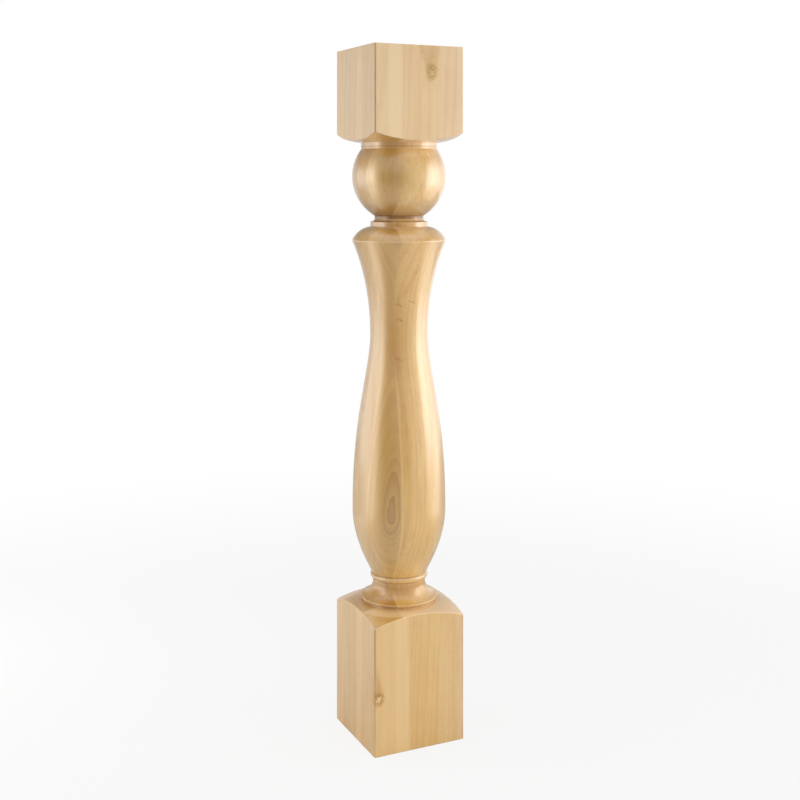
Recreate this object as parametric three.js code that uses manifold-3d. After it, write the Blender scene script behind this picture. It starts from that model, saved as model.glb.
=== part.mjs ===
// A turned wooden post with a square block at each end, as stands under a worktop or a landing.
// One square blank is turned between the blocks: a ball, a collar, a long vase and a flared base ring.
// Millimetres, with Z up. The origin is the middle of the underside.

import * as THREE from 'three';
import { mergeVertices } from 'three/addons/utils/BufferGeometryUtils.js';
import Module from 'manifold-3d';

// The blank: trade sizes of a worktop post, 35 1/2 inches tall in 5 inch square stock.
const postHeight = 901.7;
const blankWidth = 127;
const arrisRadius = 2;

// Shoulders, where the square stock runs out into the turning. Both follow the same rounded arc.
const shoulderRadius = 102;
const shoulderCentreRadius = 40;
const footShoulderCrown = 174.3;
const headShoulderCrown = 777;

// Base ring: a quirk, a thin round-edged flange and a hollow that sweeps up to the neck.
const quirkRadius = 47.5;
const flangeRadius = 50.8;
const flangeUnderside = 177.8;
const flangeThickness = 2.6;
const baseNeckRadius = 34.5;
const hollowTop = 196;
const hollowRadius = 20;

// Bead above the base ring.
const beadBottom = 203.5;
const beadTop = 210.2;
const beadRootRadius = 35.6;
const beadRadius = 3.6;
const vaseBottom = 211.2;
const vaseBottomRadius = 36.4;

// Vase: it swells from the bead to the belly, draws in to the waist and opens to a sharp arris.
const bellyHeight = 296;
const bellyRadius = 61.6;
const waistHeight = 524;
const waistRadius = 38.2;
const arrisHeight = 648.6;
const arrisOuterRadius = 62.4;

// Pull of each curve of the vase: how far its tangent reaches, and how steeply its ends lean.
const bottomLean = 0.52;
const bottomPull = 23;
const bellyPullDown = 35;
const bellyPullUp = 122;
const waistPullDown = 45;
const waistPullUp = 31;
const arrisLean = 0.43;
const arrisPull = 46;

// Collar between the vase and the ball.
const collarShoulderRadius = 31;
const collarBandRadius = 38.2;
const collarBandBottom = 666.8;
const collarBandTop = 673.3;
const collarCoveRadius = 5;
const collarCoveTop = 677.4;
const collarCoveLip = 0.8;
const collarNeckRadius = 32.4;

// Ball, very slightly flattened, and the plain band that carries the upper block.
const ballCentreHeight = 733.2;
const ballRadius = 62.2;
const ballHalfHeight = 61.3;
const headBandRadius = 50.4;

// Facets: sides of the turning, and steps that each curve of its outline is drawn in.
const turnedSides = 60;
const steps = {
  arris: 4, footShoulder: 7, rim: 4, hollow: 5, bead: 4, vaseFoot: 7, vaseBody: 10, vaseNeck: 7,
  collarShoulder: 5, cove: 2, ball: 14, headShoulder: 6,
};

// The lathe runs past the blank all round, so that the blank's own faces are left square.
const pastBlank = 12;
const blankCornerRadius = blankWidth / Math.SQRT2;

// One turned outline, walked from the floor to the top as points of radius and height.
class Outline {
  constructor(radius, height) {
    this.points = [new THREE.Vector2(radius, height)];
  }

  get end() {
    return this.points[this.points.length - 1];
  }

  // A straight run to the next point.
  line(radius, height) {
    this.points.push(new THREE.Vector2(radius, height));
    return this;
  }

  // Follows a curve that starts where the outline ends, in a number of steps.
  along(curve, count) {
    this.points.push(...curve.getPoints(count).slice(1));
    return this;
  }

  // A round stretch of a given radius. It bulges away from the axis, or is hollow when bulge is -1.
  round(radius, height, arcRadius, bulge, count) {
    const start = this.end.clone();
    const finish = new THREE.Vector2(radius, height);
    const chord = finish.clone().sub(start);
    const depth = Math.sqrt(arcRadius ** 2 - chord.lengthSq() / 4);
    const inward = new THREE.Vector2(-chord.y, chord.x).normalize();
    const centre = start.clone().add(finish).multiplyScalar(0.5).addScaledVector(inward, depth * bulge);
    const startAngle = Math.atan2(start.y - centre.y, start.x - centre.x);
    const finishAngle = Math.atan2(finish.y - centre.y, finish.x - centre.x);
    const arc = new THREE.EllipseCurve(
      centre.x, centre.y, arcRadius, arcRadius, startAngle, finishAngle, bulge < 0,
    );
    return this.along(arc, count);
  }

  // A free curve: it leaves by one handle and arrives by another, each given as a lean and a pull.
  sweep(radius, height, leave, arrive, count) {
    const start = this.end;
    const first = new THREE.Vector2(start.x + leave.lean * leave.pull, start.y + leave.pull);
    const second = new THREE.Vector2(radius - arrive.lean * arrive.pull, height - arrive.pull);
    const curve = new THREE.CubicBezierCurve(start, first, second, new THREE.Vector2(radius, height));
    return this.along(curve, count);
  }
}

// Height of a shoulder's arc under its crown, at a given radius from the axis.
function shoulderDrop(radius) {
  return shoulderRadius - Math.sqrt(shoulderRadius ** 2 - (radius - shoulderCentreRadius) ** 2);
}

// Angle on the flattened ball at which it has a given radius from the axis.
function ballAngle(radius) {
  return Math.acos(radius / ballRadius);
}

// Rim of the flange, a half round.
function flangeRim(outline) {
  const rimRadius = flangeThickness / 2;
  const rimStart = flangeRadius - rimRadius;
  outline.line(rimStart, flangeUnderside);
  outline.round(rimStart, flangeUnderside + flangeThickness, rimRadius, 1, steps.rim);
}

function turnedOutline() {
  const reach = blankCornerRadius + pastBlank;
  const footShoulderEnd = footShoulderCrown - shoulderDrop(reach);
  const headShoulderEnd = headShoulderCrown + shoulderDrop(reach);
  const outline = new Outline(0, -pastBlank);
  outline.line(reach, -pastBlank);
  outline.line(reach, footShoulderEnd);

  // Foot shoulder, quirk, flange and hollow.
  const footShoulderTop = footShoulderCrown - shoulderDrop(quirkRadius);
  outline.round(quirkRadius, footShoulderTop, shoulderRadius, 1, steps.footShoulder);
  outline.line(quirkRadius, flangeUnderside);
  flangeRim(outline);
  outline.round(baseNeckRadius, hollowTop, hollowRadius, -1, steps.hollow);

  // Bead, standing proud of the neck below it and of a fine groove above it.
  outline.line(baseNeckRadius, beadBottom);
  outline.line(beadRootRadius, beadBottom);
  outline.round(beadRootRadius, beadTop, beadRadius, 1, steps.bead);

  // Vase.
  outline.line(vaseBottomRadius, vaseBottom);
  outline.sweep(
    bellyRadius, bellyHeight,
    { lean: bottomLean, pull: bottomPull }, { lean: 0, pull: bellyPullDown }, steps.vaseFoot,
  );
  outline.sweep(
    waistRadius, waistHeight,
    { lean: 0, pull: bellyPullUp }, { lean: 0, pull: waistPullDown }, steps.vaseBody,
  );
  outline.sweep(
    arrisOuterRadius, arrisHeight,
    { lean: 0, pull: waistPullUp }, { lean: arrisLean, pull: arrisPull }, steps.vaseNeck,
  );

  // Collar: a rounded shoulder, a band, a small cove and the neck under the ball.
  outline.round(
    collarBandRadius, collarBandBottom, collarShoulderRadius, 1, steps.collarShoulder,
  );
  outline.line(collarBandRadius, collarBandTop);
  outline.line(collarBandRadius - collarCoveLip, collarBandTop);
  outline.round(collarNeckRadius, collarCoveTop, collarCoveRadius, -1, steps.cove);

  // Ball, from the neck round to the band above it.
  const ball = new THREE.EllipseCurve(
    0, ballCentreHeight, ballRadius, ballHalfHeight,
    -ballAngle(collarNeckRadius), ballAngle(headBandRadius),
  );
  const ballStart = ball.getPoint(0);
  outline.line(ballStart.x, ballStart.y);
  outline.along(ball, steps.ball);

  // Band and head shoulder.
  const headShoulderTop = headShoulderCrown + shoulderDrop(headBandRadius);
  outline.line(headBandRadius, headShoulderTop);
  outline.round(reach, headShoulderEnd, shoulderRadius, 1, steps.headShoulder);
  outline.line(reach, postHeight + pastBlank);
  outline.line(0, postHeight + pastBlank);
  return outline.points;
}

// The square blank, with its four long arrises eased.
function blankGeometry() {
  const half = blankWidth / 2;
  const flat = half - arrisRadius;
  const section = new THREE.Shape();
  section.absarc(flat, flat, arrisRadius, 0, Math.PI / 2);
  section.absarc(-flat, flat, arrisRadius, Math.PI / 2, Math.PI);
  section.absarc(-flat, -flat, arrisRadius, Math.PI, 1.5 * Math.PI);
  section.absarc(flat, -flat, arrisRadius, 1.5 * Math.PI, 2 * Math.PI);
  return new THREE.ExtrudeGeometry(section, {
    depth: postHeight, bevelEnabled: false, curveSegments: steps.arris,
  });
}

// The turned outline swung round the axis, which the lathe class draws along Y.
function turnedGeometry() {
  const geometry = new THREE.LatheGeometry(turnedOutline(), turnedSides);
  return geometry.rotateX(Math.PI / 2);
}

const wasm = await Module();
wasm.setup();

// A closed mesh as a solid, once its shared vertices are merged.
function solidFrom(geometry) {
  geometry.deleteAttribute('normal');
  geometry.deleteAttribute('uv');
  const merged = mergeVertices(geometry, 1e-4);
  return new wasm.Manifold(new wasm.Mesh({
    numProp: 3,
    vertProperties: new Float32Array(merged.attributes.position.array),
    triVerts: new Uint32Array(merged.index.array),
  }));
}

// A solid as a geometry again.
function geometryFrom(solid) {
  const mesh = solid.getMesh();
  const geometry = new THREE.BufferGeometry();
  geometry.setAttribute('position', new THREE.BufferAttribute(mesh.vertProperties, 3));
  geometry.setIndex(new THREE.BufferAttribute(mesh.triVerts, 1));
  geometry.computeVertexNormals();
  return geometry;
}

// Lacquered pale hardwood.
const maple = new THREE.MeshStandardMaterial({
  name: 'lacquered_maple', color: 0xd9b586, roughness: 0.32, metalness: 0, flatShading: true,
});

// What is left of the blank inside the turned outline is the post.
const post = new THREE.Mesh(
  geometryFrom(solidFrom(blankGeometry()).intersect(solidFrom(turnedGeometry()))),
  maple,
);
post.name = 'turned_post';

const object = new THREE.Group();
object.name = 'post';
object.add(post);

export default object;
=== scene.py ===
# A turned wooden post: a square block at each end, and between them a flared base ring, a long vase,
# a collar and a ball. It is glued up from pale maple staves and lacquered.
# Metres, with Z up. The post stands on its underside with its axis on the origin.

import math
from types import SimpleNamespace

import bpy
import numpy as np
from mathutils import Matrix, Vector


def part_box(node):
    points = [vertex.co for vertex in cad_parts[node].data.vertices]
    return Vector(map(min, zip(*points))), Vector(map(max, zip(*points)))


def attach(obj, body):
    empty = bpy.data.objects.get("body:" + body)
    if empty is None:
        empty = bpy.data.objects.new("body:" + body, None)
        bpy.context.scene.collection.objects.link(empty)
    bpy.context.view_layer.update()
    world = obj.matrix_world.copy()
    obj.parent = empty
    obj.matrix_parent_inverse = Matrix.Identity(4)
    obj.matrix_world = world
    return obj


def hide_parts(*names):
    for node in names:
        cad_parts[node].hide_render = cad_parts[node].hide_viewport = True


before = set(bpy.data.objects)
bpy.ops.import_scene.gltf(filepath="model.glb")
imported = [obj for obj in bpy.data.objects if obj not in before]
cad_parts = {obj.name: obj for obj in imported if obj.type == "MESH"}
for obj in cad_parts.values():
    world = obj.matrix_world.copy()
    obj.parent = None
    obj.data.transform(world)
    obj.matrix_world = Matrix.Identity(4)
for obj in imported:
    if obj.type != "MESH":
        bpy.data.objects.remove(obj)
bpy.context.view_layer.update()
mm = 0.001

print("camera")

camera = {
    "lens": 55.0,              # millimetres, on a sensor 36 wide
    "turn": -25.14,            # degrees round the post, so that two faces of each block show
    "distance": 1623.5 * mm,   # along the line of sight to the axis
    "aside": -1.39 * mm,       # how far the axis lies left of the line of sight
    "height": 728.9 * mm,
    "rise": -0.2756,           # the lens looks level, and is shifted down to frame the whole post
}
turn = math.radians(camera["turn"])
ahead = Vector((-math.sin(turn), math.cos(turn), 0))
rightward = Vector((math.cos(turn), math.sin(turn), 0))


def addCamera():
    # eye = -ahead * distance - rightward * aside, at its own height and looking level
    data = bpy.data.cameras.new("camera")
    data.lens = camera["lens"]
    data.shift_y = camera["rise"]
    eye = bpy.data.objects.new("camera", data)
    eye.location = -ahead * camera["distance"] - rightward * camera["aside"]
    eye.location.z = camera["height"]
    eye.rotation_mode = "QUATERNION"
    eye.rotation_quaternion = ahead.to_track_quat("-Z", "Y")
    bpy.context.scene.collection.objects.link(eye)
    bpy.context.scene.camera = eye


addCamera()

print("outline of the turning")

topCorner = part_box("turned_post")[1]
halfWidth = topCorner.x
postHeight = topCorner.z

shoulder = {
    "radius": 102 * mm,         # both shoulders are the same arc
    "centreRadius": 40 * mm,    # where the arc is level
    "footCrown": 174.3 * mm,
    "headCrown": 777 * mm,
}
base = {
    "quirkRadius": 47.5 * mm,
    "flangeRadius": 50.8 * mm,
    "flangeUnderside": 177.8 * mm,
    "flangeThickness": 2.6 * mm,
    "hollowRadius": 20 * mm,
    "hollowTop": 196 * mm,
    "neckRadius": 34.5 * mm,
    "beadBottom": 203.5 * mm,
    "beadTop": 210.2 * mm,
    "beadRoot": 35.6 * mm,
    "beadRadius": 3.6 * mm,
}
vase = {
    "foot": (36.4 * mm, 211.2 * mm),       # radius and height
    "belly": (61.6 * mm, 296 * mm),
    "waist": (38.2 * mm, 524 * mm),
    "arris": (62.4 * mm, 648.6 * mm),
    "footHandle": (12.0 * mm, 23 * mm),    # where each end of a curve points, as a step out and up
    "bellyDown": 35 * mm,
    "bellyUp": 122 * mm,
    "waistDown": 45 * mm,
    "waistUp": 31 * mm,
    "arrisHandle": (19.8 * mm, 46 * mm),
}
collar = {
    "shoulderRadius": 31 * mm,
    "bandRadius": 38.2 * mm,
    "bandBottom": 666.8 * mm,
    "bandTop": 673.3 * mm,
    "coveLip": 0.8 * mm,
    "coveRadius": 5 * mm,
    "coveTop": 677.4 * mm,
    "neckRadius": 32.4 * mm,
}
ball = {
    "centre": 733.2 * mm,
    "radius": 62.2 * mm,
    "halfHeight": 61.3 * mm,
    "bandRadius": 50.4 * mm,    # plain band that carries the upper block
}
edges = {
    "turned": 0.45 * mm,        # how far each sharp corner of the turning is eased
    "crease": 0.7 * mm,         # where a shoulder runs out on a flat face
    "end": 0.8 * mm,            # round the top and the underside
    "arris": 2.0 * mm,          # the four long arrises of the blank
    "support": 0.5 * mm,        # an extra row beside each eased edge keeps the flats flat
    "sharp": 12,                # degrees of turn above which a corner of the outline is eased
    "share": 0.4,               # the most of a short piece that its eased corner takes
}
steps = {                       # how many steps each curve of the outline is drawn in
    "corner": 4, "rim": 10, "hollow": 14, "bead": 12, "vaseFoot": 22, "vaseBody": 34, "vaseNeck": 24,
    "collar": 16, "cove": 8, "ball": 44,
}


def shoulderDrop(radius):
    # height under the crown: R - sqrt(R² - (radius - centre)²)
    outward = radius - shoulder["centreRadius"]
    return shoulder["radius"] - np.sqrt(shoulder["radius"] ** 2 - outward ** 2)


def lineTo(start, end):
    # straight from one point of radius and height to the next
    return np.array([start, end], float)


def arcTo(start, end, radius, bulge, count):
    # centre = middle of the chord, moved sqrt(radius² - chord²/4) towards the axis, or away for bulge -1
    start, end = np.array(start, float), np.array(end, float)
    half = (end - start) / 2
    inward = np.array([-half[1], half[0]]) / np.hypot(*half)
    centre = start + half + inward * bulge * math.sqrt(max(radius ** 2 - half @ half, 0))
    first = math.atan2(*(start - centre)[::-1])
    last = math.atan2(*(end - centre)[::-1])
    sweep = bulge * ((bulge * (last - first)) % (2 * math.pi))
    angles = first + sweep * np.linspace(0, 1, count + 1)
    return centre + radius * np.stack([np.cos(angles), np.sin(angles)], 1)


def curveTo(start, first, second, end, count):
    # cubic: (1-t)³ start + 3(1-t)²t first + 3(1-t)t² second + t³ end
    t = np.linspace(0, 1, count + 1)[:, None]
    points = [np.array(p, float) for p in (start, first, second, end)]
    weights = [(1 - t) ** 3, 3 * (1 - t) ** 2 * t, 3 * (1 - t) * t ** 2, t ** 3]
    return sum(w * p for w, p in zip(weights, points))


def trimmed(piece, cutStart, cutEnd):
    # the same path measured by its length, with both ends cut back and a support point inside each
    lengths = np.concatenate([[0], np.cumsum(np.hypot(*np.diff(piece, axis=0).T))])
    low, high = cutStart, lengths[-1] - cutEnd
    beside = min(edges["support"], (high - low) / 4)
    inner = lengths[(lengths > low + beside) & (lengths < high - beside)]
    kept = np.concatenate([[low, low + beside], inner, [high - beside, high]])
    return np.stack([np.interp(kept, lengths, piece[:, i]) for i in (0, 1)], 1)


def easedPath(pieces):
    # joins the pieces; a sharp corner becomes (1-t)² before + 2t(1-t) corner + t² after, and is marked 1
    # if it is proud
    lengths = [np.hypot(*np.diff(p, axis=0).T).sum() for p in pieces]
    t = np.linspace(0, 1, steps["corner"] + 1)[1:-1, None]
    path, marks = [], []
    cut = 0
    for i, piece in enumerate(pieces):
        nextCut = 0
        if i + 1 < len(pieces):
            leave = piece[-1] - piece[-2]
            arrive = pieces[i + 1][1] - pieces[i + 1][0]
            cosine = leave @ arrive / np.hypot(*leave) / np.hypot(*arrive)
            if cosine < math.cos(math.radians(edges["sharp"])):
                shortest = min(lengths[i], lengths[i + 1])
                nextCut = min(edges["turned"], edges["share"] * shortest)
        kept = trimmed(piece, cut, nextCut)
        path.append(kept)
        marks.append(np.zeros(len(kept)))
        if nextCut:
            after = trimmed(pieces[i + 1], nextCut, 0)[0]
            corner = piece[-1]
            path.append((1 - t) ** 2 * kept[-1] + 2 * t * (1 - t) * corner + t ** 2 * after)
            proud = leave[0] * arrive[1] - leave[1] * arrive[0] > 0
            marks.append(np.full(len(t), float(proud)))
        cut = nextCut
    path, marks = np.concatenate(path), np.concatenate(marks)
    apart = np.concatenate([[True], np.hypot(*np.diff(path, axis=0).T) > 1e-6])
    return path[apart], marks[apart]


def turnedOutline():
    # radius and height along the turning, from the quirk up to the upper block
    rim = base["flangeThickness"] / 2
    rimRadius = base["flangeRadius"] - rim
    flangeTop = base["flangeUnderside"] + base["flangeThickness"]
    quirkFoot = shoulder["footCrown"] - shoulderDrop(base["quirkRadius"])
    bellyRadius, bellyHeight = vase["belly"]
    waistRadius, waistHeight = vase["waist"]
    low = -math.acos(collar["neckRadius"] / ball["radius"])
    high = math.acos(ball["bandRadius"] / ball["radius"])
    angles = np.linspace(low, high, steps["ball"] + 1)
    ballArc = np.stack([
        ball["radius"] * np.cos(angles), ball["centre"] + ball["halfHeight"] * np.sin(angles),
    ], 1)
    coveTop = (collar["neckRadius"], collar["coveTop"])
    coveFoot = (collar["bandRadius"] - collar["coveLip"], collar["bandTop"])
    bandFoot = (collar["bandRadius"], collar["bandBottom"])
    bandHead = (collar["bandRadius"], collar["bandTop"])
    neckFoot = (base["neckRadius"], base["hollowTop"])
    neckTop = (base["neckRadius"], base["beadBottom"])
    beadFoot = (base["beadRoot"], base["beadBottom"])
    beadHead = (base["beadRoot"], base["beadTop"])
    headBandTop = (ball["bandRadius"], shoulder["headCrown"] + shoulderDrop(ball["bandRadius"]))
    pieces = [
        lineTo((base["quirkRadius"], quirkFoot), (base["quirkRadius"], base["flangeUnderside"])),
        lineTo((base["quirkRadius"], base["flangeUnderside"]), (rimRadius, base["flangeUnderside"])),
        arcTo((rimRadius, base["flangeUnderside"]), (rimRadius, flangeTop), rim, 1, steps["rim"]),
        arcTo((rimRadius, flangeTop), neckFoot, base["hollowRadius"], -1, steps["hollow"]),
        lineTo(neckFoot, neckTop),
        lineTo(neckTop, beadFoot),
        arcTo(beadFoot, beadHead, base["beadRadius"], 1, steps["bead"]),
        lineTo(beadHead, vase["foot"]),
        curveTo(
            vase["foot"], np.add(vase["foot"], vase["footHandle"]),
            (bellyRadius, bellyHeight - vase["bellyDown"]), vase["belly"], steps["vaseFoot"],
        ),
        curveTo(
            vase["belly"], (bellyRadius, bellyHeight + vase["bellyUp"]),
            (waistRadius, waistHeight - vase["waistDown"]), vase["waist"], steps["vaseBody"],
        ),
        curveTo(
            vase["waist"], (waistRadius, waistHeight + vase["waistUp"]),
            np.subtract(vase["arris"], vase["arrisHandle"]), vase["arris"], steps["vaseNeck"],
        ),
        arcTo(vase["arris"], bandFoot, collar["shoulderRadius"], 1, steps["collar"]),
        lineTo(bandFoot, bandHead),
        lineTo(bandHead, coveFoot),
        arcTo(coveFoot, coveTop, collar["coveRadius"], -1, steps["cove"]),
        lineTo(coveTop, ballArc[0]),
        ballArc,
        lineTo(ballArc[-1], headBandTop),
    ]
    return easedPath(pieces)


print("post")

grid = {
    "flatColumns": 62,    # across each flat face of the blank
    "arrisColumns": 8,    # round each long arris
    "endRows": 6,         # from the middle of an end out to its edge
    "faceRows": 6,
    "edgeRows": 5,        # round each eased edge of a block
    "shoulderRows": 14,
}


def sectionColumns():
    # angles round the axis: even over each flat, close together round each arris
    flat = halfWidth - edges["arris"]
    turnIn = math.atan2(flat, halfWidth)
    beside = math.atan2(flat - edges["support"], halfWidth)
    across = np.linspace(-beside, beside, grid["flatColumns"] + 1)
    arris = np.linspace(turnIn, math.pi / 2 - turnIn, grid["arrisColumns"] + 1)
    quarter = np.concatenate([across, arris])
    return np.concatenate([quarter + side * math.pi / 2 for side in range(4)])


def sectionReach(angles):
    # from the axis to the eased square: half / cos a on a flat, and c + sqrt(c² - 2f² + r²) round an arris
    flat = halfWidth - edges["arris"]
    folded = np.abs((angles + math.pi / 4) % (math.pi / 2) - math.pi / 4)
    onFlat = halfWidth / np.cos(folded)
    middle = flat * (np.cos(folded) + np.sin(folded))
    onArris = middle + np.sqrt(np.maximum(middle ** 2 - 2 * flat ** 2 + edges["arris"] ** 2, 0))
    return np.where(halfWidth * np.tan(folded) <= flat, onFlat, onArris)


def blockRows(reach, crown, innerRadius):
    # rows out across an end face, up the flat, over the crease at crown - drop(reach) and in along the
    # shoulder, each an array over the columns; an end's edge is a quarter round, the crease is a curve
    crease = crown - shoulderDrop(reach)
    radii, heights, marks = [], [], []

    def add(radius, height, mark=0.0):
        radius, height = np.broadcast_arrays(radius + 0 * reach, height + 0 * reach)
        radii.append(radius)
        heights.append(height)
        marks.append(np.full(len(reach), mark))

    for t in np.linspace(0, 1, grid["endRows"] + 1)[1:]:
        add((reach - edges["end"] - edges["support"]) * t, 0)
    for t in np.linspace(0, 1, grid["edgeRows"]):
        angle = t * math.pi / 2
        inward = edges["end"] * (1 - math.sin(angle))
        add(reach - inward, edges["end"] * (1 - math.cos(angle)), float(0 < t < 1))
    low = edges["end"] + edges["support"]
    high = crease - edges["crease"] - edges["support"]
    for t in np.linspace(0, 1, grid["faceRows"]):
        add(reach, low + (high - low) * t)
    before = crease - edges["crease"]
    afterRadius = reach - edges["crease"]
    after = crown - shoulderDrop(afterRadius)
    for t in np.linspace(0, 1, grid["edgeRows"]):
        first, corner, last = (1 - t) ** 2, 2 * t * (1 - t), t ** 2
        radius = (first + corner) * reach + last * afterRadius
        add(radius, first * before + corner * crease + last * after, float(0 < t < 1))
    outer = afterRadius - edges["support"]
    inner = innerRadius + edges["support"]
    for t in np.linspace(0, 1, grid["shoulderRows"]):
        radius = outer + (inner - outer) * t
        add(radius, crown - shoulderDrop(radius))
    add(innerRadius, crown - shoulderDrop(innerRadius))
    return np.array(radii), np.array(heights), np.array(marks)


def postSurface():
    # point (column angle a, row) = (radius cos a, radius sin a, height), walked from the underside to the top
    angles = sectionColumns()
    reach = sectionReach(angles)
    path, pathMarks = turnedOutline()
    path, pathMarks = path[1:-1], pathMarks[1:-1]
    ones = np.ones((1, len(angles)))
    footRadius, footHeight, footMarks = blockRows(reach, shoulder["footCrown"], base["quirkRadius"])
    headCrown = postHeight - shoulder["headCrown"]
    headRadius, headHeight, headMarks = blockRows(reach, headCrown, ball["bandRadius"])
    radius = np.concatenate([footRadius, path[:, :1] * ones, headRadius[::-1]])
    height = np.concatenate([footHeight, path[:, 1:] * ones, postHeight - headHeight[::-1]])
    marks = np.concatenate([footMarks, pathMarks[:, None] * ones, headMarks[::-1]])
    points = np.stack([radius * np.cos(angles), radius * np.sin(angles), height], -1)
    return points, marks


def surfaceMesh(name, points, marks):
    # each cell of the grid is one face, the columns close on themselves and each end closes on a middle point
    rows, columns = points.shape[:2]
    index = np.arange(rows * columns).reshape(rows, columns)
    nextIndex = np.roll(index, -1, axis=1)
    quads = np.stack([index[:-1], nextIndex[:-1], nextIndex[1:], index[1:]], -1).reshape(-1, 4)
    bottom, top = rows * columns, rows * columns + 1
    lowFan = np.stack([np.full(columns, bottom), nextIndex[0], index[0]], -1)
    highFan = np.stack([np.full(columns, top), index[-1], nextIndex[-1]], -1)
    middles = np.array([[0, 0, points[0, 0, 2]], [0, 0, points[-1, 0, 2]]])
    vertices = np.concatenate([points.reshape(-1, 3), middles])
    mesh = bpy.data.meshes.new(name)
    mesh.from_pydata(vertices.tolist(), [], quads.tolist() + lowFan.tolist() + highFan.tolist())
    mesh.polygons.foreach_set("use_smooth", np.ones(len(mesh.polygons), bool))
    edge = mesh.attributes.new("proudEdge", "FLOAT", "POINT")
    edge.data.foreach_set("value", np.concatenate([marks.ravel(), [0, 0]]).astype(np.float32))
    mesh.update()
    return mesh


points, marks = postSurface()
post = bpy.data.objects.new("lacquered_post", surfaceMesh("lacquered_post", points, marks))
bpy.context.scene.collection.objects.link(post)
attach(post, "root")
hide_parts("turned_post")

print("maple")


class Wire:
    # One output of a material's nodes. Sums and products of wires and numbers add Math nodes.

    def __init__(self, tree, socket=None):
        self.tree = tree
        self.socket = socket

    def node(self, kind, settings=None, inputs=None, output=0):
        made = self.tree.nodes.new("ShaderNode" + kind)
        for name, value in (settings or {}).items():
            if name == "stops":
                setStops(made.color_ramp, value)
            else:
                setattr(made, name, value)
        for name, value in (inputs or {}).items():
            if isinstance(value, Wire):
                self.tree.links.new(value.socket, made.inputs[name])
            else:
                made.inputs[name].default_value = value
        return Wire(self.tree, made.outputs[output])

    def outputs(self):
        # every output of the node that this one comes from
        return [Wire(self.tree, socket) for socket in self.socket.node.outputs]

    def into(self, kind):
        # sends this to the output of a material or a world
        output = self.tree.nodes.new("ShaderNodeOutput" + kind)
        self.tree.links.new(self.socket, output.inputs["Surface"])

    def maths(self, operation, *values):
        return self.node("Math", {"operation": operation}, dict(enumerate(values)))

    def __add__(self, other):
        return self.maths("ADD", self, other)

    def __sub__(self, other):
        return self.maths("SUBTRACT", self, other)

    def __mul__(self, other):
        return self.maths("MULTIPLY", self, other)

    def __truediv__(self, other):
        return self.maths("DIVIDE", self, other)

    def __gt__(self, other):
        return self.maths("GREATER_THAN", self, other)

    def __lt__(self, other):
        return self.maths("LESS_THAN", self, other)

    def __abs__(self):
        return self.maths("ABSOLUTE", self)

    def __radd__(self, other):
        return self.maths("ADD", other, self)

    def __rsub__(self, other):
        return self.maths("SUBTRACT", other, self)

    def __rmul__(self, other):
        return self.maths("MULTIPLY", other, self)

    def fade(self, low, high):
        # 0 below low, 1 above high, smooth between
        return self.node(
            "MapRange", {"interpolation_type": "SMOOTHSTEP"},
            {"Value": self, "From Min": low, "From Max": high},
        )

    def between(self, rise, fall):
        # fades in over the first two places and out over the second two
        return self.fade(*rise) * (1 - self.fade(*fall))

    def tinted(self, tint, factor):
        # this colour times the tint, by as much as the factor says
        return self.node(
            "Mix", {"data_type": "RGBA", "blend_type": "MULTIPLY"}, {0: factor, 6: self, 7: (*tint, 1)}, 2,
        )

    def towards(self, colour, factor):
        # this colour mixed with another, by as much as the factor says
        return self.node("Mix", {"data_type": "RGBA"}, {0: factor, 6: self, 7: (*colour, 1)}, 2)


def setStops(ramp, stops):
    # stops are (place, colour) pairs; the colour holds from its place to the next
    ramp.interpolation = "CONSTANT"
    while len(ramp.elements) > 1:
        ramp.elements.remove(ramp.elements[-1])
    for i, (place, colour) in enumerate(stops):
        element = ramp.elements[0] if i == 0 else ramp.elements.new(place)
        element.position = place
        element.color = (*colour, 1)


def emptyTree(owner):
    # a wire to start from, in the emptied nodes of a material or a world
    owner.use_nodes = True
    owner.node_tree.nodes.clear()
    return Wire(owner.node_tree)


# Everything inside the wood is measured in millimetres. "fade", "rise", "fall" and "edge" each hold the two
# places between which something fades, and "show" is how strongly it is drawn.
noises = {                 # scale along each axis, seed, detail and roughness
    "wander": ((0.006, 0.006, 0.004), 3.1, 1.0, 0.5),
    "ripple": ((0.08, 0.08, 0.03), 7.7, 3.0, 0.5),
    "ragged": ((0.6, 0.6, 0.12), 13.0, 2.0, 0.5),
    "fibre": ((0.50, 0.50, 0.010), 11.3, 3.0, 0.6),
    "fine": ((2.2, 2.2, 0.05), 5.9, 2.0, 0.6),
    "cloud": ((0.03, 0.03, 0.009), 2.2, 2.0, 0.5),
    "pores": ((2.6, 2.6, 0.16), 17.0, 1.0, 0.5),
    "figure": ((0.10, 0.10, 0.06), 23.0, 2.0, 0.5),
    "mottle": ((0.50, 0.50, 0.36), 31.0, 3.0, 0.7),
    "patch": ((0.05, 0.05, 0.012), 41.0, 2.0, 0.5),
    "sheen": ((0.06, 0.06, 0.03), 53.0, 3.0, 0.5),
}
seedStep = (1.0, 1.7, 2.3)     # how far a seed moves its noise along each axis


def noise(place, name):
    # noise(scale * place + seed * seedStep)
    scale, seed, detail, roughness = noises[name]
    shift = tuple(seed * step for step in seedStep)
    moved = place.node("Mapping", {}, {"Vector": place, "Location": shift, "Scale": scale})
    settings = {"Vector": moved, "Scale": 1.0, "Detail": detail, "Roughness": roughness}
    return place.node("TexNoise", {}, settings)


glueUp = {
    "layers": (-23.2, 27.0, 53.6),     # joints across x
    "boards": ((-23.4, -3.6, 38.9), (9.0, 36.0), (-16.0, 22.0), ()),   # joints across y within each layer
    "apart": (37.0, 91.0),             # how far the grain of each stave is moved from the last, in x and z
    "edge": (0.05, 0.35),              # distances from a joint between which its glue line ends
    "tint": (0.86, 0.78, 0.66),
    "show": 0.35,
}
firstLayer = glueUp["layers"][0]
frontBoard = glueUp["boards"][0][0]
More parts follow.
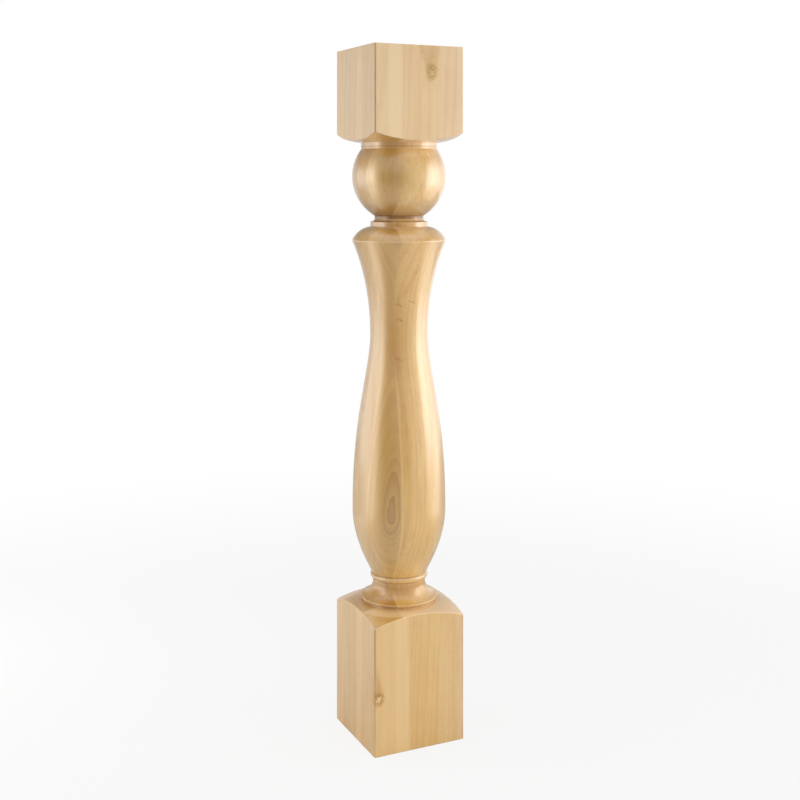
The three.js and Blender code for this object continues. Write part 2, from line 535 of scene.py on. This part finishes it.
# A stave is one board of the glued-up blank: its colour, the way its growth rings face, in degrees round the
# axis, and how strongly its rings and its streaks show.
staves = [
    {"colour": (0.80, 0.52, 0.18), "facing": 222, "rings": 1.0, "streaks": 0.15},
    {"colour": (0.80, 0.52, 0.18), "facing": 290, "rings": 0.15, "streaks": 0.15},
    {"colour": (0.72, 0.465, 0.17), "facing": 160, "rings": 0.10, "streaks": 0.15},
    {"colour": (0.77, 0.49, 0.18), "facing": 205, "rings": 0.10, "streaks": 0.12},
    {"colour": (0.84, 0.525, 0.14), "facing": 338, "rings": 0.40, "streaks": 0.45},
    {"colour": (0.80, 0.52, 0.195), "facing": 40, "rings": 0.30, "streaks": 0.30},
    {"colour": (0.77, 0.49, 0.165), "facing": 75, "rings": 0.40, "streaks": 0.30},
    {"colour": (0.84, 0.54, 0.185), "facing": 300, "rings": 0.20, "streaks": 0.30},
    {"colour": (0.79, 0.51, 0.17), "facing": 20, "rings": 0.35, "streaks": 0.30},
    {"colour": (0.81, 0.56, 0.225), "facing": 350, "rings": 0.30, "streaks": 0.30},
    {"colour": (0.84, 0.555, 0.25), "facing": 265, "rings": 0.15, "streaks": 0.20},
]


def staveNumber(x, y):
    # the sum over the layers of (1 in that layer) * (staves before it + joints passed within it)
    passed = [x > place for place in glueUp["layers"]]
    inLayer = [1 - passed[0], passed[0] - passed[1], passed[1] - passed[2], passed[2]]
    number = 0
    first = 0
    for joints, inside in zip(glueUp["boards"], inLayer):
        board = first
        for joint in joints:
            board = board + (y > joint)
        number = number + inside * board
        first += len(joints) + 1
    return number


def perStave(number, values):
    # a colour that holds for each stave
    count = len(values)
    stops = [(i / count, value) for i, value in enumerate(values)]
    return number.node("ValToRGB", {"stops": stops}, {"Fac": (number + 0.5) / count})


def jointLine(x, y):
    # 1 on the glue lines: those between the layers, and those across the first layer
    line = 0
    for place in glueUp["layers"]:
        line = line + (1 - abs(x - place).fade(*glueUp["edge"]))
    for place in glueUp["boards"][0]:
        line = line + (1 - abs(y - place).fade(*glueUp["edge"])) * (1 - (x > firstLayer))
    return line


parts = {
    "planed": (63.0, 63.4),            # distance from the axis at which the flat faces start
    "front": -24.0,                    # the marks of the front are drawn no further back than this
    "ball": ((676.0, 690.0), (770.0, 790.0)),
    "turning": ((175.0, 177.0), (775.0, 777.0)),
}


def woodPlaces(start):
    # the place in millimetres, its stave with that stave's habits, and whether it is on a flat or the ball
    wood = SimpleNamespace()
    metres = start.node("TexCoord", {}, {}, "Object")
    wood.place = start.node("VectorMath", {"operation": "SCALE"}, {0: metres, "Scale": 1 / mm})
    wood.x, wood.y, wood.z = start.node("SeparateXYZ", {}, {0: wood.place}).outputs()
    wood.number = staveNumber(wood.x, wood.y)
    habits = [(stave["facing"] / 360, stave["rings"], stave["streaks"]) for stave in staves]
    split = start.node("SeparateColor", {}, {0: perStave(wood.number, habits)})
    wood.facing, wood.ringShow, wood.streakShow = split.outputs()
    alongX, alongZ = glueUp["apart"]
    wood.apart = start.node("CombineXYZ", {}, {
        0: wood.x + wood.number * alongX, 1: wood.y, 2: wood.z + wood.number * alongZ,
    })
    wood.planed = start.maths("MAXIMUM", abs(wood.x), abs(wood.y)).fade(*parts["planed"])
    wood.onBall = wood.z.between(*parts["ball"])
    wood.mottle = noise(wood.place, "mottle")
    return wood


knots = [
    {
        "place": (16.8, -63.5, 867.0), "wide": 9.0, "tall": 13.0, "push": 5.0, "core": 0.0,
        "stain": (0.56, 0.49, 0.06), "flame": (0.86, 0.80, 0.56), "flameTall": 40.0, "flameHalf": (7.0, 17.0),
    },
    {
        "place": (-57.6, -63.5, 72.6), "wide": 9.0, "tall": 10.0, "push": 3.0, "core": 3.2,
        "stain": (0.58, 0.45, 0.12), "flame": (0.80, 0.67, 0.36), "flameTall": 42.0, "flameHalf": (7.0, 0.0),
    },
]
knotStyle = {              # the shares are of a knot's own size
    "deep": 20.0,
    "skin": (2.0, 9.0),        # depths between which its marks end
    "pushReach": 2.2,          # how far it pushes the rings aside
    "broken": 1.4,             # how much the mottle breaks the stain up
    "edge": (0.60, 1.20),
    "base": 0.15,              # how strongly the stain shows where the mottle leaves it pale
    "mottled": (0.44, 0.55),
    "core": (0.84, 0.58, 0.28),
    "coreEdge": (0.6, 1.1),
    "thinCoat": (0.6, 1.4),
}
flameStyle = {
    "lean": 0.08,
    "ragged": 9,
    "edge": (-4.0, 3.0),
    "rise": (0.0, 5.0),
    "fall": (0.5, 1.3),        # shares of its height
}


def knotSteps(wood, knot):
    # how far the place is from a knot's middle along each axis
    return [axis - at for axis, at in zip((wood.x, wood.y, wood.z), knot["place"])]


def knotAway(wood, knot):
    # sqrt((x / wide)² + (z / tall)² + (y / deep)²), measured from the knot's middle
    dx, dy, dz = knotSteps(wood, knot)
    across, up, inward = dx / knot["wide"], dz / knot["tall"], dy / knotStyle["deep"]
    return dx.maths("SQRT", across * across + up * up + inward * inward)


def knotMarks(colour, wood, knot):
    # a stain broken up by the mottle round a paler core, and a darker flame of grain above it
    dx, dy, dz = knotSteps(wood, knot)
    near = 1 - dy.fade(*knotStyle["skin"])
    uneven = wood.mottle - 0.5
    away = knotAway(wood, knot) + uneven * knotStyle["broken"]
    low, high = knot["flameHalf"]
    half = low + (high - low) * (dz / knot["flameTall"])
    aside = abs(dx + dz * flameStyle["lean"]) - half + uneven * flameStyle["ragged"]
    flame = (1 - aside.fade(*flameStyle["edge"])) * dz.fade(*flameStyle["rise"])
    fall = [knot["flameTall"] * share for share in flameStyle["fall"]]
    colour = colour.tinted(knot["flame"], flame * (1 - dz.fade(*fall)) * near)
    base = knotStyle["base"]
    broken = base + (1 - base) * wood.mottle.fade(*knotStyle["mottled"])
    colour = colour.tinted(knot["stain"], (1 - away.fade(*knotStyle["edge"])) * broken * near)
    if knot["core"]:
        edge = [knot["core"] * share for share in knotStyle["coreEdge"]]
        core = 1 - (away * knot["wide"]).fade(*edge)
        colour = colour.towards(knotStyle["core"], core * near)
    return colour


rings = {
    "twist": 0.046,        # degrees that the rings turn for each millimetre of height
    "bow": 0.006,          # curve of the rings, as one over twice their radius
    "spacing": 1.42,
    "start": 61.24,        # depth of one ring, which shows as the oval on the belly
    "strays": {"wander": 1.2, "ripple": 0.5, "ragged": 0.16},   # how far a ring strays, from slow to fine
    "tint": (0.65, 0.54, 0.34),
    "line": (0.0, 0.14),   # the crisp line and the body of a ring fade out over these shares of it
    "body": (0.1, 1.0),
    "lineShare": 0.35,
    "oval": (-1.0, 4.5),   # the rings nearest the oval show most, and fade out by their number
    "always": 0.08,
    "chance": 0.20,
    "nearOval": 0.85,
    "staveStep": 0.37,     # makes the chance strengths of each stave its own
    "rise": (232.0, 262.0),
    "weaker": (((380.0, 470.0), 0.55), ((640.0, 660.0), 0.95)),   # heights over which they lose a share
}
growth = {                 # slow bands of tone across the rings
    "scale": 0.16,
    "staveStep": 5.0,
    "detail": 2.0,
    "tint": (0.93, 0.88, 0.78),
    "fade": (0.45, 0.62),
    "show": 0.8,
    "lessOnBall": 0.5,
}


def ringDepth(wood):
    # x cos a + y sin a - bow (y cos a - x sin a)², where a turns slowly up the post, and then what strays and
    # what each knot pushes aside, push * exp(-(distance / reach)²)
    angle = (wood.facing * 360.0 + wood.z * rings["twist"]) * (math.pi / 180)
    cosine = angle.maths("COSINE", angle)
    sine = angle.maths("SINE", angle)
    along = wood.y * cosine - wood.x * sine
    depth = wood.x * cosine + wood.y * sine - along * along * rings["bow"]
    for name, reach in rings["strays"].items():
        depth = depth + (noise(wood.apart, name) - 0.5) * (2 * reach)
    for knot in knots:
        away = knotAway(wood, knot) / knotStyle["pushReach"]
        depth = depth + knot["push"] * away.maths("EXPONENT", away * away * -1)
    return depth


def ringMask(depth, number):
    # darkest on a crisp line at the start of each ring and fading to its end, and strongest near the oval
    turns = (depth - rings["start"]) / rings["spacing"]
    part = turns.maths("FRACT", turns)
    whole = turns.maths("FLOOR", turns)
    chance = turns.node(
        "TexWhiteNoise", {"noise_dimensions": "1D"}, {"W": whole + number * rings["staveStep"]},
    )
    line = 1 - part.fade(*rings["line"])
    body = 1 - part.fade(*rings["body"])
    near = 1 - abs(whole).fade(*rings["oval"])
    share = rings["lineShare"]
    strength = rings["always"] + chance * rings["chance"] + near * rings["nearOval"]
    return (line * share + body * (1 - share)) * strength


def ringColour(colour, wood):
    # the growth rings, which are weaker up the post, and the slow bands of tone across them
    depth = ringDepth(wood)
    shown = wood.z.fade(*rings["rise"])
    for heights, loss in rings["weaker"]:
        shown = shown * (1 - wood.z.fade(*heights) * loss)
    colour = colour.tinted(rings["tint"], ringMask(depth, wood.number) * wood.ringShow * shown)
    across = depth * growth["scale"] + wood.number * growth["staveStep"]
    band = depth.node(
        "TexNoise", {"noise_dimensions": "1D"}, {"W": across, "Scale": 1.0, "Detail": growth["detail"]},
    )
    show = growth["show"] - wood.onBall * growth["lessOnBall"]
    return colour.tinted(growth["tint"], band.fade(*growth["fade"]) * show)


grain = {                  # fibres, pores and the slow cloudiness of the wood: tint, fade and show
    "fine": ((0.92, 0.87, 0.79), (0.40, 0.75), 0.5),
    "cloud": ((0.96, 0.91, 0.82), (0.35, 0.65), 1.0),
    "figure": ((0.96, 0.92, 0.86), (0.5, 0.7), 0.6),
    "pores": ((0.75, 0.62, 0.45), (0.68, 0.75), 0.5),
}
streaks = {
    "tint": (0.84, 0.74, 0.60),
    "fade": (0.45, 0.68),
    "moreOnBall": 0.3,
    "lessOnFaces": 0.4,
}


def grainColour(colour, wood):
    # streaks of fibre as strong as each stave has them, and then each kind of grain in turn
    wood.noises = {name: noise(wood.apart, name) for name in ("fibre", *grain)}
    strength = wood.streakShow + wood.onBall * streaks["moreOnBall"]
    flat = 1 - wood.planed * streaks["lessOnFaces"]
    colour = colour.tinted(streaks["tint"], wood.noises["fibre"].fade(*streaks["fade"]) * strength * flat)
    for name, (tint, fade, show) in grain.items():
        colour = colour.tinted(tint, wood.noises[name].fade(*fade) * show)
    return colour


heart = {                  # the front stave is browner at its left
    "edge": (-33.0, -9.0),     # places across x between which it fades out
    "tint": (0.80, 0.705, 0.36),
    "lean": 0.85,              # it is seen where y is less than this much of x
    "leanEdge": (-13.0, 15.0),
    "ballTint": (0.95, 0.93, 0.92),
    "ballRise": (640.0, 700.0),
}
leftStaves = {         # the staves behind it in the first layer, of which one shows only from the waist up
    "from": glueUp["boards"][0][1],
    "rise": (330.0, 400.0),
    "tint": (0.87, 0.86, 0.86),
}
waistShade = {
    "height": 525.0,
    "edge": (25.0, 75.0),
    "across": (-12.0, 6.0),
    "tint": (0.93, 0.87, 0.82),
}
sapBand = {
    "middle": -23.3,       # where a paler band on the front face crosses z = 0, and how it leans
    "lean": -0.0133,
    "half": (6.0, 13.0),   # its edge fades between these distances from its middle
    "behind": -60.0,
    "colour": (0.93, 0.66, 0.29),
    "show": 0.55,
}
sliver = {                 # the same pale wood as a thin line up the belly
    "across": ((-23.4, -23.0), (-21.0, -20.2)),
    "behind": -30.0,
    "fall": (420.0, 520.0),
    "show": 0.30,
}


def boardColour(colour, wood):
    # what differs from board to board: the brown heart of the front one, and a paler band where two meet
    x, y, z = wood.x, wood.y, wood.z
    turned = 1 - wood.planed
    facingFront = (1 - (y - x * heart["lean"]).fade(*heart["leanEdge"])) * turned
    brown = (1 - x.fade(*heart["edge"])) * facingFront
    colour = colour.tinted(heart["tint"], brown)
    hidden = (y > leftStaves["from"]) * (1 - z.fade(*leftStaves["rise"]))
    colour = colour.tinted(leftStaves["tint"], (y > frontBoard) * (1 - hidden) * (x < 0) * turned)
    atWaist = 1 - abs(z - waistShade["height"]).fade(*waistShade["edge"])
    leftward = 1 - x.fade(*waistShade["across"])
    colour = colour.tinted(waistShade["tint"], atWaist * leftward * facingFront)
    colour = colour.tinted(heart["ballTint"], brown * z.fade(*heart["ballRise"]))
    band = 1 - abs(x - sapBand["middle"] - z * sapBand["lean"]).fade(*sapBand["half"])
    onFace = wood.planed * (y < sapBand["behind"])
    colour = colour.towards(sapBand["colour"], onFace * band * sapBand["show"])
    line = x.between(*sliver["across"]) * (y < sliver["behind"]) * turned
    return colour.towards(sapBand["colour"], line * (1 - z.fade(*sliver["fall"])) * sliver["show"])


faces = {                  # how the planed faces differ from the turning, among them a painted sheen
    "left": -63.0,             # where the left and front ones lie in x and in y
    "front": -63.0,
    "paleColour": (1.0, 0.97, 0.92),
    "paleRise": (300.0, 800.0),
    "pale": (0.02, 0.12),      # painted sheen that stands in for reflected light: at the foot, and how much more at the top
    "rise": (200.0, 800.0),
    "leftTint": (0.88, 0.87, 0.89),
    "leftShow": (0.5, 0.5),
    "warmColour": (0.90, 0.56, 0.185),
    "warm": (0.15, 0.35),      # at the top, and how much more at the foot
}
endGrain = {               # on the shoulders, known by how far they face up or down
    "upward": (0.35, 1.0),
    "firstTint": (0.93, 0.91, 0.90),
    "colour": (1.0, 0.76, 0.50),
    "show": 0.55,
    # painted light: the shoulder just beside the flange is lightened where the flange shades it
    "paintedLightBesideFlange": (1.0, 0.76, 0.44),
    "besideRise": (169.8, 171.6),
    "besideTop": 175.0,
    "besideShow": 0.45,
}


def faceColour(colour, wood):
    # the planed faces get a painted sheen, a whitening for reflected light that grows towards the top, the
    # end grain of the shoulders is yellower, and painted light lightens the shoulder beside the flange
    x, y, z = wood.x, wood.y, wood.z
    # painted sheen: every planed face but the left one is whitened, more towards the top, for reflected light
    low, more = faces["pale"]
    pale = (low + more * z.fade(*faces["paleRise"])) * (x > faces["left"])
    colour = colour.towards(faces["paleColour"], wood.planed * pale)
    normal = x.node("NewGeometry", {}, {}, "Normal")
    upward = abs(x.node("SeparateXYZ", {}, {0: normal}).outputs()[2])
    shoulders = upward.fade(*endGrain["upward"])
    inFirst, inFront = x < firstLayer, y < frontBoard
    colour = colour.tinted(endGrain["firstTint"], shoulders * inFirst)
    colour = colour.towards(endGrain["colour"], shoulders * (x > firstLayer) * endGrain["show"])
    # painted light on the shoulder beside the flange, on the first staves at the front
    heights = z.fade(*endGrain["besideRise"]) * (z < endGrain["besideTop"])
    beside = shoulders * inFirst * inFront * heights
    colour = colour.towards(endGrain["paintedLightBesideFlange"], beside * endGrain["besideShow"])
    up = z.fade(*faces["rise"])
    low, more = faces["leftShow"]
    onLeft = (x < faces["left"]) * inFront * wood.planed
    colour = colour.tinted(faces["leftTint"], onLeft * (low + more * up))
    low, more = faces["warm"]
    onFront = inFirst * inFront * (y < faces["front"]) * wood.planed
    return colour.towards(faces["warmColour"], onFront * (low + more * (1 - up)))


specks = [                 # x, z, half width and half height of the small dark flecks on the front
    (2.9, 893.7, 1.5, 1.5), (18.7, 898.2, 1.3, 1.3), (25.2, 897.9, 1.3, 1.3), (19.4, 887.9, 1.5, 1.5),
    (20.1, 851.9, 1.6, 1.6), (25.9, 871.5, 2.4, 2.4), (-56.1, 64.7, 1.5, 1.5),
    (-16.7, 566.0, 5.5, 2.4), (-15.8, 547.0, 6.0, 2.2), (-17.5, 496.0, 5.5, 2.6), (-0.5, 570.0, 6.0, 1.8),
]
speckStyle = {
    "lean": 0.4,
    "ragged": 3,
    "edge": (-0.2, 1.1),
    "tint": (0.70, 0.55, 0.30),
    "show": 0.7,
}
slash = {
    "place": (-4.2, 597.0),    # x and z of the middle of an orange-brown slash of grain above the waist
    "lean": 0.40,
    "half": (1.0, 5.5),
    "tall": (12.0, 26.0),
    "ragged": 5,
    "tint": (0.93, 0.83, 0.66),
}


def blemishColour(colour, wood):
    # knots, then flecks where (x / wide)² + (z / tall)² is small, then the slash
    uneven = wood.mottle - 0.5
    for knot in knots:
        colour = knotMarks(colour, wood, knot)
    onFront = wood.y < parts["front"]
    for atX, atZ, wide, tall in specks:
        aside = wood.x - atX
        dx, dz = aside / wide, (wood.z - atZ + aside * speckStyle["lean"]) / tall
        away = dx * dx + dz * dz + uneven * speckStyle["ragged"]
        fleck = 1 - away.fade(*speckStyle["edge"])
        colour = colour.tinted(speckStyle["tint"], fleck * onFront * speckStyle["show"])
    dx, dz = wood.x - slash["place"][0], wood.z - slash["place"][1]
    aside = abs(dx - dz * slash["lean"]) + uneven * slash["ragged"]
    slashed = (1 - aside.fade(*slash["half"])) * (1 - abs(dz).fade(*slash["tall"]))
    return colour.tinted(slash["tint"], slashed * onFront)


hollow = {                 # painted shade: the hollow of the base ring is browner, and most of all near the front arris
    "heights": ((178.0, 181.0), (198.0, 206.0)),
    "tint": (0.77, 0.63, 0.24),
    "middle": -15.0,
    "aside": (5.0, 40.0),
    "lessAside": 0.45,
    "thinCoat": 0.3,
}
collarShade = {            # the collar is browner towards the right
    "heights": ((649.0, 651.0), (680.0, 684.0)),
    "tint": (0.89, 0.79, 0.56),
    "across": (-40.0, -10.0),
    "show": (0.2, 0.8),        # at the left, and how much more at the right
}
underBall = {              # painted shade low on the ball, where it meets the collar
    "from": 677.4,
    "fall": (680.0, 708.0),
    "tint": (0.54, 0.49, 0.38),
    "show": 0.9,
    "thinCoat": 0.3,
}
crevices = {               # the grooves, painted darker with shade
    "places": ((210.8, 1.6), (203.2, 1.4), (176.2, 3.2), (680.0, 5.0), (674.0, 1.6), (772.0, 1.8)),
    "full": 0.2,               # each place is a height and a reach, and the groove is full this near to it
    "tint": (0.70, 0.58, 0.42),
    "show": 0.8,
    "thinCoat": 0.5,
}


def recessShadeColour(colour, wood):
    # painted shade: darker in the hollow, on the collar, under the ball and in the grooves
    turned = 1 - wood.planed
    wood.hollow = wood.z.between(*hollow["heights"]) * turned
    side = abs(wood.x - hollow["middle"]).fade(*hollow["aside"])
    # painted shade in the hollow of the base ring
    colour = colour.tinted(hollow["tint"], wood.hollow * (1 - side * hollow["lessAside"]))
    low, more = collarShade["show"]
    across = low + more * wood.x.fade(*collarShade["across"])
    colour = colour.tinted(collarShade["tint"], wood.z.between(*collarShade["heights"]) * across)
    wood.under = (wood.z > underBall["from"]) * (1 - wood.z.fade(*underBall["fall"])) * turned
    # painted shade low on the ball
    colour = colour.tinted(underBall["tint"], wood.under * underBall["show"])
    # painted shade in the grooves
    wood.gathered = 0
    for level, reach in crevices["places"]:
        wood.gathered = wood.gathered + (1 - abs(wood.z - level).fade(crevices["full"], reach))
    return colour.tinted(crevices["tint"], wood.gathered * turned * crevices["show"])


longArris = {
    "edge": (124.3, 125.4),    # |x| + |y|, which is greatest on the four long arrises
    "fade": (0.30, 0.55),
    "tint": (0.72, 0.56, 0.36),
    "show": 0.8,
}
# painted highlight: a pale line along the sharp eased edges
edgeHighlight = {
    "colour": (1.0, 0.82, 0.56),
    "show": 0.15,
    "moreOnTurning": 0.50,
}


def edgeColour(colour, wood):
    # glue lines hold a little of the finish, the long arrises are darker in patches, and the sharp edges get
    # a pale painted highlight
    colour = colour.tinted(glueUp["tint"], jointLine(wood.x, wood.y) * glueUp["show"])
    onArris = (abs(wood.x) + abs(wood.y)).fade(*longArris["edge"])
    patch = noise(wood.place, "patch").fade(*longArris["fade"])
    colour = colour.tinted(longArris["tint"], onArris * patch * longArris["show"])
    # painted highlight along each sharp eased edge, strongest on the turning
    edge = colour.node("Attribute", {"attribute_name": "proudEdge"}, {}, "Fac")
    onTurning = wood.z.between(*parts["turning"])
    return colour.towards(edgeHighlight["colour"], edge * (edgeHighlight["show"] + edgeHighlight["moreOnTurning"] * onTurning))


lacquer = {
    "roughness": 0.36,
    "sheen": 0.10,             # how much the roughness varies over the post
    "fineRoughness": 0.04,
    "specular": 1.0,
    "index": 1.5,
    "coat": 1.0,
    "coatRoughness": 0.24,
    "coatIndex": 2.0,
    "overKnots": 0.6,          # how much thinner the coat is there
    "thinnest": 0.9,
}
relief = {                 # the grain stands this far out of the lacquer, in metres
    "distance": 0.04 * mm,
    "strength": 0.25,
    "fine": 0.4,
    "fibre": 0.4,
    "pores": 0.6,
    "poreFade": (0.66, 0.74),
}


def grainBump(wood):
    # height = fine + fibre - pores, each by its own share
    made = wood.noises
    pores = made["pores"].fade(*relief["poreFade"])
    height = made["fine"] * relief["fine"] + made["fibre"] * relief["fibre"] - pores * relief["pores"]
    settings = {"Strength": relief["strength"], "Distance": relief["distance"], "Height": height}
    return wood.place.node("Bump", {}, settings, "Normal")


def coatWeight(wood):
    # coat - what it loses in the grooves, in the hollow, under the ball and over the knots
    thin = wood.gathered * crevices["thinCoat"]
    thin = thin + wood.hollow * hollow["thinCoat"] + wood.under * underBall["thinCoat"]
    for knot in knots:
        thin = thin + (1 - knotAway(wood, knot).fade(*knotStyle["thinCoat"])) * lacquer["overKnots"]
    return lacquer["coat"] - thin.maths("MINIMUM", thin, lacquer["thinnest"])


def mapleMaterial():
    # the stave's colour, then each layer of marks over it, under a clear coat
    material = bpy.data.materials.new("lacquered_maple_grain")
    start = emptyTree(material)
    wood = woodPlaces(start)
    colour = perStave(wood.number, [stave["colour"] for stave in staves])
    for layer in (ringColour, grainColour, boardColour, faceColour, blemishColour, recessShadeColour, edgeColour):
        colour = layer(colour, wood)
    sheen = (noise(wood.place, "sheen") - 0.5) * lacquer["sheen"]
    shader = start.node("BsdfPrincipled", {}, {
        "Base Color": colour,
        "Roughness": lacquer["roughness"] + sheen + wood.noises["fine"] * lacquer["fineRoughness"],
        "IOR": lacquer["index"],
        "Specular IOR Level": lacquer["specular"],
        "Coat Weight": coatWeight(wood),
        "Coat Roughness": lacquer["coatRoughness"],
        "Coat IOR": lacquer["coatIndex"],
        "Normal": grainBump(wood),
    })
    shader.into("Material")
    return material


post.data.materials.append(mapleMaterial())

print("studio")

softboxes = {              # each stands at its bearing and distance, and points at its aim on the axis
    "rightBox": {"bearing": 84, "distance": 0.9, "size": (0.46, 0.80), "height": 0.70, "aim": 0.70,
                 "watts": 1.45, "colour": (1.0, 0.96, 0.92)},
    "rightSheen": {"bearing": 97, "distance": 0.9, "size": (0.90, 1.5), "height": 0.52, "aim": 0.52,
                   "watts": 3.3, "colour": (1.0, 0.97, 0.96), "shows": "gloss"},
    "leftBox": {"bearing": -70, "distance": 0.9, "size": (0.28, 0.50), "height": 0.75, "aim": 0.75,
                "watts": 0.35, "colour": (1.0, 0.93, 0.89), "shows": "gloss"},
    "leftSheen": {"bearing": -74, "distance": 0.9, "size": (0.62, 1.4), "height": 0.50, "aim": 0.50,
                  "watts": 1.95, "colour": (1.0, 0.95, 0.92), "shows": "gloss"},
    "frontBox": {"bearing": 8, "distance": 1.2, "size": (1.2, 1.2), "height": 0.75, "aim": 0.5,
                 "watts": 2.9, "colour": (1.0, 0.98, 0.96), "shows": "diffuse"},
    "lowLeftBox": {"bearing": -100, "distance": 0.9, "size": (0.5, 0.6), "height": 0.24, "aim": 0.12,
                   "watts": 2.8, "colour": (1.0, 0.95, 0.90), "shows": "diffuse"},
    "lowRightBox": {"bearing": 50, "distance": 1.0, "size": (0.6, 0.6), "height": 0.30, "aim": 0.15,
                    "watts": 1.3, "colour": (1.0, 0.97, 0.94), "shows": "diffuse"},
    "topBox": {"bearing": -79, "distance": 0.55, "size": (0.6, 0.6), "height": 1.95, "aim": 0.66,
               "watts": 2.6, "colour": (1.0, 0.94, 0.90), "shows": "diffuse"},
}
room = {                   # an edge is two cosines for a bearing, and two sines of a height for a height
    "wallGlow": 0.80,      # light from the white walls all round, up to a little over the post's height
    "wallTop": (0.08, 0.30),
    "opening": {"bearing": -12, "edge": (0.50, 0.88)},    # a darker one behind the camera
    "openGlow": 0.20,
    "leftStrip": {"bearing": -108, "edge": (0.94, 0.99)},
    "leftGlow": 0.8,       # what a narrow white panel at the left adds
    "rearPanel": {"bearing": 132, "edge": (0.70, 0.90)},
    "rearGlow": 0.45,      # and a wider one behind and to the right
    "rearTop": (0.40, 0.70),
    "front": {"bearing": 0, "edge": (-0.1, 0.5)},
    "upperGlow": 0.30,     # light from higher on the walls behind
    "frontUpperGlow": 0.62,   # and from higher on the camera's side
    "topGlow": 1.0,        # light from overhead
    "overhead": (0.65, 0.85),
}
ground = {
    "radius": 2.5,
    "sides": 96,
    "colour": (0.62, 0.62, 0.62, 1),
    "lit": 0.85,           # it shows this much whiter to the camera than its own light makes it
    "clear": (0.5, 1.6),   # between these distances it turns as white as the walls
}
white = (1, 1, 1, 1)


def bearingAside(degrees):
    # a level direction from the post: 0 is towards the camera, and positive is to the camera's right
    bearing = math.radians(degrees)
    return -ahead * math.cos(bearing) + rightward * math.sin(bearing)


def addSoftbox(name, box):
    # an oval lamp at distance * direction, turned towards its aim
    data = bpy.data.lights.new(name, "AREA")
    data.shape = "ELLIPSE"
    data.size, data.size_y = box["size"]
    data.energy = box["watts"]
    data.color = box["colour"]
    lamp = bpy.data.objects.new(name, data)
    lamp.location = bearingAside(box["bearing"]) * box["distance"] + Vector((0, 0, box["height"]))
    lamp.rotation_mode = "QUATERNION"
    lamp.rotation_quaternion = (Vector((0, 0, box["aim"])) - lamp.location).to_track_quat("-Z", "Y")
    lamp.visible_glossy = box.get("shows") != "diffuse"
    lamp.visible_diffuse = box.get("shows") != "gloss"
    bpy.context.scene.collection.objects.link(lamp)


def addRoom():
    # glow = walls low down, upper walls above them and the top overhead, and plain white to the camera itself
    world = bpy.data.worlds.new("white studio")
    bpy.context.scene.world = world
    start = emptyTree(world)
    direction = start.node("TexCoord", {}, {}, "Generated")
    x, y, z = start.node("SeparateXYZ", {}, {0: direction}).outputs()

    def towardsBearing(part):
        # 1 near a bearing: the cosine between it and the direction, faded over its edge
        aside = bearingAside(part["bearing"])
        return (x * aside.x + y * aside.y).fade(*part["edge"])

    wall = room["wallGlow"] + (room["openGlow"] - room["wallGlow"]) * towardsBearing(room["opening"])
    wall = wall + room["leftGlow"] * towardsBearing(room["leftStrip"])
    front = towardsBearing(room["front"])
    upper = room["upperGlow"] + (room["frontUpperGlow"] - room["upperGlow"]) * front
    panel = towardsBearing(room["rearPanel"]) * (1 - z.fade(*room["rearTop"]))
    glow = upper + (wall - upper) * (1 - z.fade(*room["wallTop"])) + room["rearGlow"] * panel
    glow = glow + (room["topGlow"] - glow) * z.fade(*room["overhead"])
    seen = start.node("LightPath", {}, {}, "Is Camera Ray")
    start.node("Background", {}, {"Color": white, "Strength": glow + seen * (1.0 - glow)}).into("World")


def addFloor():
    # a disc of one fan of faces, which whitens away from the post and runs into the walls with no horizon
    angles = np.linspace(0, 2 * math.pi, ground["sides"], endpoint=False)
    rimPoints = ground["radius"] * np.stack([np.cos(angles), np.sin(angles), 0 * angles], 1)
    around = np.arange(len(angles))
    fan = np.stack([np.full(len(angles), len(angles)), around, np.roll(around, -1)], 1)
    mesh = bpy.data.meshes.new("studio_floor")
    mesh.from_pydata(rimPoints.tolist() + [[0, 0, 0]], [], fan.tolist())
    material = bpy.data.materials.new("studio_floor")
    start = emptyTree(material)
    place = start.node("TexCoord", {}, {}, "Object")
    away = start.node("VectorMath", {"operation": "LENGTH"}, {0: place}, "Value")
    matt = start.node("BsdfDiffuse", {}, {"Color": ground["colour"]})
    lit = start.node("Emission", {}, {"Color": white, "Strength": 1.0})
    seen = start.node("LightPath", {}, {}, "Is Camera Ray")
    share = seen * (ground["lit"] + (1 - ground["lit"]) * away.fade(*ground["clear"]))
    start.node("MixShader", {}, {0: share, 1: matt, 2: lit}).into("Material")
    mesh.materials.append(material)
    floor = bpy.data.objects.new("studio_floor", mesh)
    bpy.context.scene.collection.objects.link(floor)


for name, box in softboxes.items():
    addSoftbox(name, box)
addRoom()
addFloor()
bpy.context.scene.view_settings.view_transform = "Standard"
